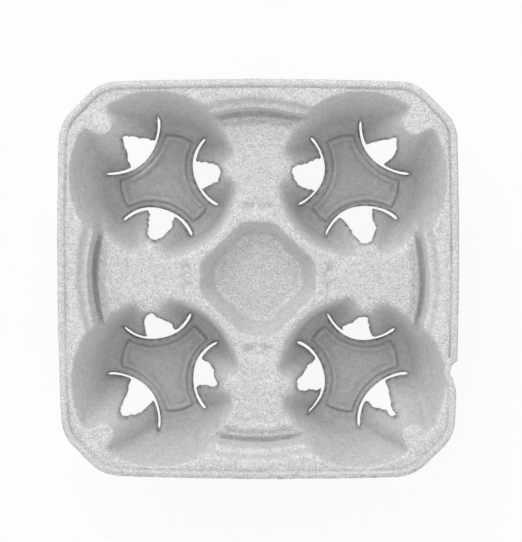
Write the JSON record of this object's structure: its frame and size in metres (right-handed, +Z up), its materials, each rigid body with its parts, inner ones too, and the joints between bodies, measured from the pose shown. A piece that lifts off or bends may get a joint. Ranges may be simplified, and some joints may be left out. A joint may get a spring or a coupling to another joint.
{
  "type": "moulded pulp cup carrier",
  "caption": "Square moulded pulp tray with round cup wells, sloping flaps, cross arms and a recess in the middle.",
  "frame": {"origin": "centre of the tray on the plane it rests on, under the well floors", "axes": "+Z up out of the wells, +X to the right and +Y to the back as seen from above"},
  "size_m": [0.216, 0.216, 0.045],
  "materials": {
    "pulp": "matte, coarse fibre"
  },
  "bodies": {
    "root": {"cup_carrier": "pulp"}
  },
  "joints": []
}
